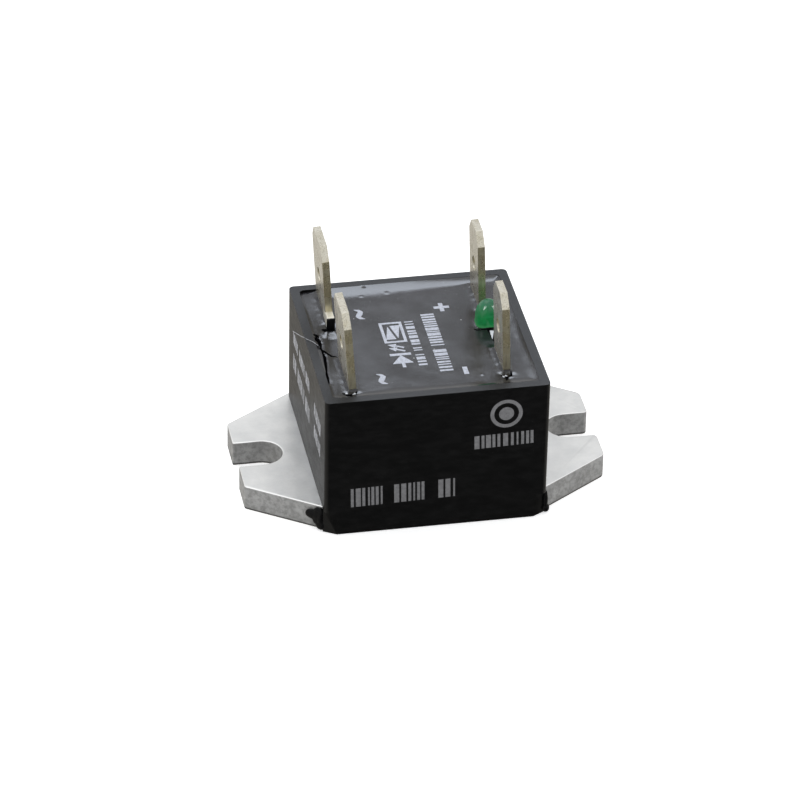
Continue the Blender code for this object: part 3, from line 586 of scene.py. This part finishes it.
def make_tab_shoulder(finish):
    """The stop shoulder that shows in front of the rear load tab, and the epoxy that climbed its front."""
    top = RIM + 1.2 * MM
    reach = 1.26 * MM
    height = 2.0 * MM
    fillet_drop = 0.14 * MM
    fillet_waviness = 0.05 * MM
    middle, half_width = tab_at("load_tab_rear", top)
    size = Vector((TAB_THICKNESS * 0.98, reach * 2, height))
    bm = block(size, (middle.x, middle.y - half_width, top - height / 2), 0.1 * MM)
    piece("load_tab_rear_shoulder", bm, finish)
    skin = Vector((TAB_THICKNESS * 1.15, 0.3 * MM, height))
    bm = block(skin, (middle.x, middle.y - half_width - reach, top - fillet_drop - height / 2), 0.12 * MM)
    bmesh.ops.subdivide_edges(bm, edges=bm.edges, cuts=3, use_grid_fill=True)
    for vert in bm.verts:
        vert.co += fillet_waviness * noise.noise_vector(vert.co / MM * 1.7)
    piece("shoulder_fillet", bm, bead_epoxy())


def lens_outline(angle, size, squareness):
    """A point of the lens's plan: between an ellipse and a rounded rectangle."""
    across, deep = math.cos(angle), math.sin(angle)
    reach = (abs(across) ** squareness + abs(deep) ** squareness) ** (-1 / squareness) * size
    return LENS_MIDDLE.x + across * reach * LENS_HALF_WIDTH, LENS_MIDDLE.y + deep * reach * LENS_HALF_DEPTH


def lens_profile():
    """The lens's size, height and squareness from its underside to its tip."""
    flange = (LENS_HIGH.x - LENS_LOW.x) / 2 / LENS_HALF_WIDTH
    flange_top = LENS_LOW.z + 1.0 * MM
    lip = RIM - 0.1 * MM
    lip_size = 1.04
    dome_base = LENS_TOP - LENS_DOME
    profile = [(0, LENS_LOW.z, ELLIPSE), (flange, LENS_LOW.z, ELLIPSE), (flange, flange_top, ELLIPSE)]
    profile += [(lip_size, flange_top, BARREL), (lip_size, lip, BARREL), (1.0, lip + 0.15 * MM, BARREL)]
    steps = 16
    for i in range(steps):
        turn = math.pi / 2 * i / steps
        squareness = BARREL + (ELLIPSE - BARREL) * i / steps
        profile.append((math.cos(turn), dome_base + LENS_DOME * math.sin(turn), squareness))
    profile.append((0, LENS_TOP, ELLIPSE))
    return profile


def make_lens():
    """The indicator: a flange in the epoxy, a barrel with a small lip where it comes out, and a tall dome."""
    sides = 72
    bm = bmesh.new()
    rings = []
    for size, z, squareness in lens_profile():
        angles = [2 * math.pi * i / sides for i in range(sides if size else 1)]
        rings.append([bm.verts.new((*lens_outline(a, size, squareness), z)) for a in angles])
    for lower, upper in zip(rings, rings[1:]):
        for i in range(sides):
            j = (i + 1) % sides
            below = [lower[k % len(lower)] for k in (i, j)]
            above = [upper[k % len(upper)] for k in (j, i)]
            bm.faces.new(list(dict.fromkeys(below + above)))
    piece("indicator_lens", bm, green_lens(), "led_lens")


# Lumps of each bead: centre, half sizes in mm; all are turned about Z by the bead's angle
BEADS = {
    "squeeze_out_left": (math.radians(-34), (
        ((-13.35, -10.90, 1.80), (0.75, 0.26, 0.60)),
        ((-12.75, -11.25, 1.60), (0.65, 0.40, 1.15)),
        ((-12.45, -11.50, 0.75), (0.62, 0.40, 0.72)),
        ((-12.45, -11.45, 1.50), (0.50, 0.45, 1.30)),
    )),
    "squeeze_out_right": (0.0, (
        ((12.10, -11.95, 1.55), (0.30, 0.40, 1.25)),
        ((12.15, -12.00, 0.55), (0.45, 0.40, 0.50)),
    )),
}


def fused(name, bm):
    """The lumps in a mesh as one smooth skin, by a fine remesh."""
    mesh = bpy.data.meshes.new(name)
    bm.to_mesh(mesh)
    bm.free()
    rough = bpy.data.objects.new(name + "_lumps", mesh)
    bpy.context.scene.collection.objects.link(rough)
    fuse = rough.modifiers.new("fuse", "REMESH")
    fuse.mode = "VOXEL"
    fuse.voxel_size = BEAD_VOXEL
    relax = rough.modifiers.new("relax", "SMOOTH")
    relax.iterations = 6
    graph = bpy.context.evaluated_depsgraph_get()
    skin = bmesh.new()
    skin.from_mesh(bpy.data.meshes.new_from_object(rough.evaluated_get(graph)))
    bpy.data.objects.remove(rough, do_unlink=True)
    return skin


def make_beads():
    """Epoxy that ran out at the frame's front lower corners, in wavy lumps that stay off the floor."""
    finish = bead_epoxy()
    for name, (turn, lumps) in BEADS.items():
        bm = bmesh.new()
        for centre, half_sizes in lumps:
            start = len(bm.verts)
            bmesh.ops.create_icosphere(bm, subdivisions=4, radius=1.0)
            bm.verts.ensure_lookup_table()
            shape = Matrix.Translation(Vector(centre) * MM) @ Matrix.Rotation(turn, 4, "Z")
            shape @= Matrix.Diagonal((*(Vector(half_sizes) * MM), 1.0))
            bmesh.ops.transform(bm, matrix=shape, verts=bm.verts[start:])
        bm = fused(name, bm)
        bm.normal_update()
        for vert in bm.verts:
            vert.co += vert.normal * BEAD_WAVINESS * noise.noise(vert.co / MM * 1.6)
            vert.co.z = max(vert.co.z, 0.02 * MM)
        piece(name + "_bead", bm, finish, name)


# ---------------------------------------------------------------- printed marks


# These three turn a place on a face, in mm, and a lift off it, in metres, into a point


def on_top(u, v, lift):
    return Vector((u * MM, v * MM, surface(u * MM, v * MM) + lift))


def on_front(u, v, lift):
    return Vector((u * MM, CASE_LOW.y - lift, v * MM))


def on_left(u, v, lift):
    return Vector((CASE_LOW.x - lift, u * MM, v * MM))


def stroke(bm, place, points, widths):
    """A flat stroke of ink along points in mm, as wide as widths say at its points or their even spread."""
    points = [Vector(p) for p in points]
    if isinstance(widths, (int, float)):
        widths = (widths, widths)
    fine = []
    for i, (a, b) in enumerate(zip(points, points[1:])):
        count = max(1, math.ceil((b - a).length / INK_STEP))
        fine += [(a.lerp(b, k / count), (i + k / count) / (len(points) - 1)) for k in range(count)]
    fine.append((points[-1], 1.0))
    low, high = INK_LIFT, INK_LIFT + INK_THICKNESS
    rows = []
    for i, (point, t) in enumerate(fine):
        ahead = (fine[min(i + 1, len(fine) - 1)][0] - fine[max(i - 1, 0)][0]).normalized()
        spot = t * (len(widths) - 1)
        k = min(int(spot), len(widths) - 2)
        width = widths[k] + (widths[k + 1] - widths[k]) * (spot - k)
        side = Vector((-ahead.y, ahead.x)) * width / 2
        corners = [(point + side, high), (point - side, high), (point - side, low), (point + side, low)]
        rows.append([bm.verts.new(place(corner.x, corner.y, lift)) for corner, lift in corners])
    for a, b in zip(rows, rows[1:]):
        for i in range(4):
            j = (i + 1) % 4
            bm.faces.new((a[i], a[j], b[j], b[i]))
    bm.faces.new(rows[0])
    bm.faces.new(rows[-1][::-1])


def ring(bm, place, centre, radius, width):
    """A ring of ink, or a dot when it is wide enough to close."""
    steps = 48
    turns = (2 * math.pi * i / steps for i in range(steps + 1))
    points = [(centre[0] + radius * math.cos(a), centre[1] + radius * math.sin(a)) for a in turns]
    stroke(bm, place, points, width)


def bar_strip(bm, place, start, end, height, seed, groups=(1.0,)):
    """A row of bars of mixed widths from start to end in mm, as a plain machine-readable strip has them.

    groups are the lengths of the strip's parts and of the gaps between them, in turn, as shares of the whole.
    """
    start, end = Vector(start), Vector(end)
    draw = random.Random(seed)
    total = (end - start).length
    ahead = (end - start).normalized()
    across = Vector((-ahead.y, ahead.x)) * height / 2
    place_along = 0.0
    scale = total / sum(groups)
    for i, share in enumerate(groups):
        stop = place_along + share * scale
        if i % 2 == 1:
            place_along = stop
            continue
        while place_along < stop - min(BAR_WIDTHS):
            width = min(draw.choice(BAR_WIDTHS), stop - place_along)
            middle = start + ahead * (place_along + width / 2)
            stroke(bm, place, [middle - across, middle + across], width)
            place_along += width + draw.choice(BAR_GAPS)
        place_along = stop


def tilde(bm, centre):
    """An alternating-current sign, its length along Y."""
    half = ((0.0, 0.0), (0.2, 0.42), (0.0, 0.8), (-0.45, 1.0))
    whole = [(-x, -y) for x, y in reversed(half[1:])] + list(half)
    points = [(centre[0] + x, centre[1] + y) for x, y in whole]
    stroke(bm, on_top, points, (0.1, 0.42, 0.55, 0.66, 0.55, 0.42, 0.1))


def make_terminal_marks(finish):
    """Alternating current at the load tabs, plus and minus at the input tabs."""
    bm = bmesh.new()
    tilde(bm, (-5.53, 4.7))
    tilde(bm, (-5.42, -8.4))
    for x, y in ((0.0, 0.85), (0.85, 0.0)):
        stroke(bm, on_top, [(3.55 - x, 4.78 - y), (3.55 + x, 4.78 + y)], 0.47)
    stroke(bm, on_top, [(3.7, -8.85), (3.7, -7.4)], 0.52)
    piece("terminal_marks", bm, finish)


def make_circuit_mark(finish):
    """A plain symbol of what the relay does: a light-emitting diode beside two opposed triangles in a box."""
    bm = bmesh.new()
    top, bottom, middle = -3.85, -1.35, -2.6
    stroke(bm, on_top, [(middle, -6.5), (middle, -5.7)], 0.36)
    stroke(bm, on_top, [(middle, -5.7), (middle, -4.1)], (2.3, 0.05))
    stroke(bm, on_top, [(top + 0.1, -3.9), (bottom - 0.1, -3.9)], 0.44)
    for y in (-3.3, -2.6):
        stroke(bm, on_top, [(bottom - 0.6, y), (middle - 0.2, y + 0.45)], 0.26)
        stroke(bm, on_top, [(middle - 0.2, y + 0.45), (top + 0.25, y + 0.75)], (0.8, 0.05))
    left, right = -1.5, 2.6
    for x in (top + 0.16, bottom - 0.16):
        stroke(bm, on_top, [(x, left), (x, right)], 0.32)
    for y in (left + 0.16, right - 0.16):
        stroke(bm, on_top, [(top + 0.32, y), (bottom - 0.32, y)], 0.32)
    stroke(bm, on_top, [(middle - 0.4, left + 0.7), (middle - 0.4, right - 0.9)], (1.1, 0.05))
    stroke(bm, on_top, [(middle + 0.4, right - 0.7), (middle + 0.4, left + 0.9)], (1.1, 0.05))
    piece("circuit_mark", bm, finish)


def make_top_strips(finish):
    """Two strips of bars beside the circuit mark, a fine one and a bold one."""
    bm = bmesh.new()
    bar_strip(bm, on_top, (-0.55, -6.4), (-0.55, 2.8), 0.95, 3, (2.2, 0.5, 0.6, 0.5, 4.6))
    bar_strip(bm, on_top, (1.72, -7.9), (1.72, 4.0), 1.45, 5, (4.4, 0.6, 6.6))
    piece("top_bar_strips", bm, finish)


def make_front_marks(finish):
    """Three groups of bars low on the front wall, and a ring mark over a short strip at its upper right."""
    bm = bmesh.new()
    bar_strip(bm, on_front, (-9.43, 4.6), (2.0, 4.85), 2.35, 8, (3.6, 1.1, 3.7, 1.1, 1.9))
    ring_middle = (7.3, 13.7)
    ring(bm, on_front, ring_middle, 1.55, 0.42)
    ring(bm, on_front, ring_middle, 0.42, 0.8)
    bar_strip(bm, on_front, (3.9, 10.3), (10.6, 10.5), 1.65, 12)
    piece("front_marks", bm, finish)


def make_left_marks(finish):
    """Strips of bars on the left wall."""
    bm = bmesh.new()
    bar_strip(bm, on_left, (7.6, 12.6), (-2.9, 12.6), 1.5, 21, (3.0, 0.8, 3.4, 0.8, 2.5))
    bar_strip(bm, on_left, (7.6, 9.6), (-2.9, 9.0), 1.9, 22, (2.2, 0.7, 4.4, 0.7, 2.6))
    bar_strip(bm, on_left, (-5.9, 12.0), (-9.9, 11.6), 1.6, 23)
    bar_strip(bm, on_left, (-5.9, 9.2), (-9.9, 9.0), 1.6, 24)
    piece("left_marks", bm, finish)


def painted_gap_shade():
    """Painted shade: black for deep narrow gaps, where no light gets out."""
    f = Finish("painted_gap_shade", Roughness=0.95, Specular_IOR_Level=0.0)
    f.colour(f.blend(f.between(f.noise(4.0), 0.3, 0.7), (0.0012, 0.0012, 0.0014), (0.0035, 0.0035, 0.004)))
    f.bump((f.noise(6.0), 0.01))
    return f.material


# Painted shade, black strips laid where gaps beside the left wall and at the feet of the tabs and the lens
# lie in shade. Points on the surface in mm, and the widths in mm at even steps along them
GAPS = (
    (((-10.95, 0.8), *CRACK), (0.5, 0.42, 0.2, 0.12, 0.34, 0.3, 0.18, 0.34, 0.12)),
    (((-10.95, -1.3), (-10.5, -2.2), (-9.96, -3.15), (-9.45, -3.3)), (0.1, 0.3, 0.2, 0.26, 0.08)),
    (((-11.15, 1.5), (-10.8, 1.1), (-10.95, 0.35), (-10.6, -0.2)), (0.1, 0.5, 0.35, 0.62, 0.1)),
    (((-10.1, 2.3), (-9.6, 2.0), (-8.65, 1.85)), (0.15, 0.5, 0.6, 0.5, 0.2)),
    (((-10.05, -10.5), (-9.5, -11.1), (-8.8, -10.9), (-8.5, -10.5)), (0.1, 0.4, 0.25, 0.35, 0.1)),
    (((-9.35, -11.1), (-9.2, -11.55)), (0.3, 0.1)),
    (((7.2, -9.7), (7.7, -10.3), (8.3, -9.9), (8.4, -9.3)), (0.1, 0.4, 0.3, 0.3, 0.1)),
    (((7.75, -10.3), (7.6, -10.8)), (0.35, 0.1)),
    (((7.6, -0.5), (8.1, -1.1), (8.05, -2.5), (7.9, -3.1)), (0.1, 0.85, 0.75, 0.5, 0.1)),
    (((6.2, -0.1), (6.5, -0.42), (7.6, -0.42), (8.8, -0.3)), (0.1, 0.22, 0.16, 0.2, 0.1)),
)
# Painted glints: pale strokes in those gaps, in the same form
PAINTED_GLINTS = (
    (((8.05, -0.8), (7.92, -1.5), (7.78, -2.45)), (0.46, 0.3, 0.04)),
    (((-9.75, -10.62), (-9.55, -10.8)), (0.3, 0.1)),
    (((-9.05, -10.98), (-8.72, -10.8)), (0.12, 0.26)),
    (((7.62, -9.85), (7.85, -10.0)), (0.26, 0.1)),
    (((7.35, -9.9), (7.5, -10.15)), (0.1, 0.2)),
    (((-10.92, 0.72), (-10.8, 0.58)), (0.2, 0.1)),
)


def make_gap_shade():
    """Painted shade: black strips over the shrinkage crack and the gaps where the epoxy didn't wet a wall, a
    tab or the lens.
    """
    bm = bmesh.new()
    for points, widths in GAPS:
        stroke(bm, on_top, points, widths)
    piece("shrinkage_gaps", bm, painted_gap_shade())


def make_painted_glints(finish):
    """Painted glints: pale strokes over the painted shade of the gaps."""
    bm = bmesh.new()
    for points, widths in PAINTED_GLINTS:
        stroke(bm, lambda u, v, lift: on_top(u, v, lift + INK_THICKNESS * 2), points, widths)
    piece("flash_slivers", bm, finish)


def make_strand(finish):
    """A hair of epoxy left over the left wall and rim."""
    route = [(-12.30, 8.0, 13.1), (-12.30, 5.4, 14.4), (-12.30, 2.8, 15.7), (-12.28, 0.7, 16.82),
             (-12.1, 0.2, 16.92), (-11.5, -0.5, 16.92), (-11.1, -1.2, 16.88)]
    radius = 0.035 * MM
    sides = 6
    bm = bmesh.new()
    rows = []
    for i, spot in enumerate(route):
        ahead = (Vector(route[min(i + 1, len(route) - 1)]) - Vector(route[max(i - 1, 0)])).normalized()
        out = ahead.orthogonal().normalized()
        over = ahead.cross(out)
        turns = [2 * math.pi * k / sides for k in range(sides)]
        ring_points = [Vector(spot) * MM + (out * math.cos(a) + over * math.sin(a)) * radius for a in turns]
        rows.append([bm.verts.new(point) for point in ring_points])
    for a, b in zip(rows, rows[1:]):
        for i in range(sides):
            j = (i + 1) % sides
            bm.faces.new((a[i], a[j], b[j], b[i]))
    bm.faces.new(rows[0][::-1])
    bm.faces.new(rows[-1])
    piece("epoxy_hair", bm, finish)


# ---------------------------------------------------------------- finishes of the nodes that stay


def finish_nodes():
    """Gives every node that no piece replaces a finish of its own kind."""
    copper = inner("bare_copper", (0.62, 0.30, 0.18), (0.80, 0.44, 0.29), 0.35, 1.0)
    bright = inner("plated_wire", (0.62, 0.61, 0.56), (0.78, 0.76, 0.70), 0.3, 1.0)
    body = inner("component_body", (0.010, 0.010, 0.011), (0.022, 0.022, 0.024), 0.5)
    silicon = inner("silicon", (0.16, 0.17, 0.20), (0.30, 0.31, 0.35), 0.22, 0.6)
    sealing = bead_epoxy()
    single = {
        "silicone_gel": inner("silicone_gel", (0.50, 0.54, 0.56), (0.62, 0.66, 0.68), 0.2, scale=0.5),
        "bond_layer": inner("solder", (0.45, 0.46, 0.47), (0.62, 0.63, 0.64), 0.4, 1.0),
        "ceramic_substrate": inner("alumina", (0.80, 0.79, 0.76), (0.88, 0.87, 0.84), 0.6),
        "control_board": inner("board", (0.012, 0.12, 0.045), (0.03, 0.22, 0.09), 0.4, scale=3.0),
        "snubber_capacitor": inner("fired_ceramic", (0.45, 0.31, 0.18), (0.58, 0.43, 0.27), 0.45),
    }
    families = (
        (("pad_", "clip_"), copper),
        (("gate_wire", "gate_pin", "led_lead"), bright),
        (("thyristor",), silicon),
        (("sealant",), sealing),
    )
    for name, item in frame["nodes"].items():
        if item.hide_render:
            continue
        family = [finish for starts, finish in families if name.startswith(starts)]
        wear(item, single.get(name) or (family[0] if family else body))


# ---------------------------------------------------------------- stage, light and camera


def set_floor():
    """A pale table. It gives off some light of its own, so that it stays white up to the relay's foot."""
    bpy.ops.mesh.primitive_plane_add(size=4.0, location=(0, 0, PLATE_LOW.z - FLOOR_GAP))
    floor = bpy.context.object
    floor.name = "floor"
    f = Finish("floor", Roughness=0.9, Specular_IOR_Level=0.0, Emission_Strength=0.5)
    f.shader.inputs["Emission Color"].default_value = (1, 1, 1, 1)
    f.colour(f.blend(f.noise(0.02, 2), (0.93, 0.93, 0.93), (0.95, 0.95, 0.95)))
    wear(floor, f.material)
    floor.visible_glossy = False


def set_world():
    """A pale room over a pale table, darker low down in front, where the photographer stands."""
    world = bpy.data.worlds.new("studio")
    bpy.context.scene.world = world
    world.use_nodes = True
    nodes, links = world.node_tree.nodes, world.node_tree.links
    direction = nodes.new("ShaderNodeTexCoord").outputs["Generated"]
    split = nodes.new("ShaderNodeSeparateXYZ")
    links.new(direction, split.inputs[0])
    height = nodes.new("ShaderNodeMapRange")
    height.inputs["From Min"].default_value = -1.0
    links.new(split.outputs["Z"], height.inputs["Value"])
    ramp = nodes.new("ShaderNodeValToRGB")
    links.new(height.outputs[0], ramp.inputs[0])
    stops = ((0.0, (0.50, 0.48, 0.44)), (0.44, (0.66, 0.63, 0.57)), (0.52, (0.80, 0.80, 0.79)),
             (0.75, (0.84, 0.85, 0.88)), (1.0, (1.0, 1.0, 1.0)))
    while len(ramp.color_ramp.elements) < len(stops):
        ramp.color_ramp.elements.new(0.5)
    for element, (position, colour) in zip(ramp.color_ramp.elements, stops):
        element.position = position
        element.color = (*colour, 1.0)
    towards = nodes.new("ShaderNodeVectorMath")
    towards.operation = "DOT_PRODUCT"
    links.new(direction, towards.inputs[0])
    towards.inputs[1].default_value = Vector((0.16, -0.82, -0.55)).normalized()
    dark = nodes.new("ShaderNodeMapRange")
    dark.interpolation_type = "SMOOTHSTEP"
    links.new(towards.outputs["Value"], dark.inputs["Value"])
    for key, value in (("From Min", 0.62), ("From Max", 0.9), ("To Min", 1.0), ("To Max", 0.08)):
        dark.inputs[key].default_value = value
    shade = nodes.new("ShaderNodeVectorMath")
    shade.operation = "SCALE"
    links.new(ramp.outputs["Color"], shade.inputs[0])
    links.new(dark.outputs[0], shade.inputs["Scale"])
    background = nodes["Background"]
    links.new(shade.outputs[0], background.inputs["Color"])
    background.inputs["Strength"].default_value = 1.0


def softbox(name, azimuth, elevation, distance, width, height, radiance, colour=(1, 1, 1), only_on=()):
    """A rectangular light that faces the relay: azimuth 0 is behind it (+Y), 90 its right side.

    With only_on, it is just a reflection in those pieces.
    """
    turn, rise = math.radians(azimuth), math.radians(elevation)
    ahead = Vector((math.sin(turn) * math.cos(rise), math.cos(turn) * math.cos(rise), math.sin(rise)))
    light = bpy.data.lights.new(name, "AREA")
    light.shape = "RECTANGLE"
    light.size, light.size_y = width, height
    light.energy = radiance * math.pi * width * height
    light.color = colour
    item = bpy.data.objects.new(name, light)
    item.location = Vector((0, 0, RIM)) + ahead * distance
    item.rotation_mode = "QUATERNION"
    item.rotation_quaternion = (-ahead).to_track_quat("-Z", "Y")
    bpy.context.scene.collection.objects.link(item)
    if only_on:
        item.visible_diffuse = False
        item.light_linking.receiver_collection = bpy.data.collections.new(name + "_receivers")
        for lit in only_on:
            item.light_linking.receiver_collection.objects.link(bpy.data.objects[lit])


def set_lights():
    black_parts = ("potting_fill", "case_shell")
    lens = ("indicator_lens",)
    softbox("back_strip", 8, 50, 0.8, 0.7, 0.32, 6.0, (0.82, 0.89, 1.0), only_on=black_parts)
    softbox("left_spot", -144, 38, 0.8, 0.3, 0.3, 9.0, only_on=lens)
    softbox("right_spot", 139, 31, 0.8, 0.34, 0.28, 9.0, only_on=lens)
    softbox("key", -30, 70, 1.0, 0.8, 0.8, 1.0)


def set_camera():
    camera = bpy.data.objects.new("camera", bpy.data.cameras.new("camera"))
    bpy.context.scene.collection.objects.link(camera)
    camera.data.sensor_width = CAMERA_SENSOR
    camera.data.lens = CAMERA_LENS
    camera.data.clip_start = 0.01
    camera.data.clip_end = 20.0
    turn = Matrix.Rotation(CAMERA_AZIMUTH, 3, "Z")
    tilt = Matrix.Rotation(math.pi / 2 - CAMERA_ELEVATION, 3, "X")
    roll = Matrix.Rotation(CAMERA_ROLL, 3, "Z")
    axes = turn @ tilt @ roll
    camera.matrix_world = Matrix.Translation(CAMERA_TARGET + axes.col[2] * CAMERA_DISTANCE) @ axes.to_4x4()
    bpy.context.scene.camera = camera


def main():
    bpy.context.scene.view_settings.view_transform = "Standard"
    set_world()
    set_floor()
    set_camera()
    make_plate()
    make_case()
    make_potting()
    make_tabs()
    make_lens()
    make_beads()
    white_ink = ink_and_glint_paint("white_ink", (0.62, 0.66, 0.76), 0.72)
    grey_ink = ink_and_glint_paint("grey_ink", (0.15, 0.15, 0.155), 0.75)
    side_ink = ink_and_glint_paint("side_ink", (0.52, 0.53, 0.56), 0.4)
    make_terminal_marks(white_ink)
    make_circuit_mark(white_ink)
    make_top_strips(white_ink)
    make_front_marks(grey_ink)
    make_left_marks(side_ink)
    make_strand(side_ink)
    # black strips of painted shade in the gaps
    make_gap_shade()
    # pale strokes that paint glints in the gaps
    make_painted_glints(ink_and_glint_paint("glint_paint", (0.74, 0.77, 0.82), 0.8))
    set_lights()
    finish_nodes()


main()
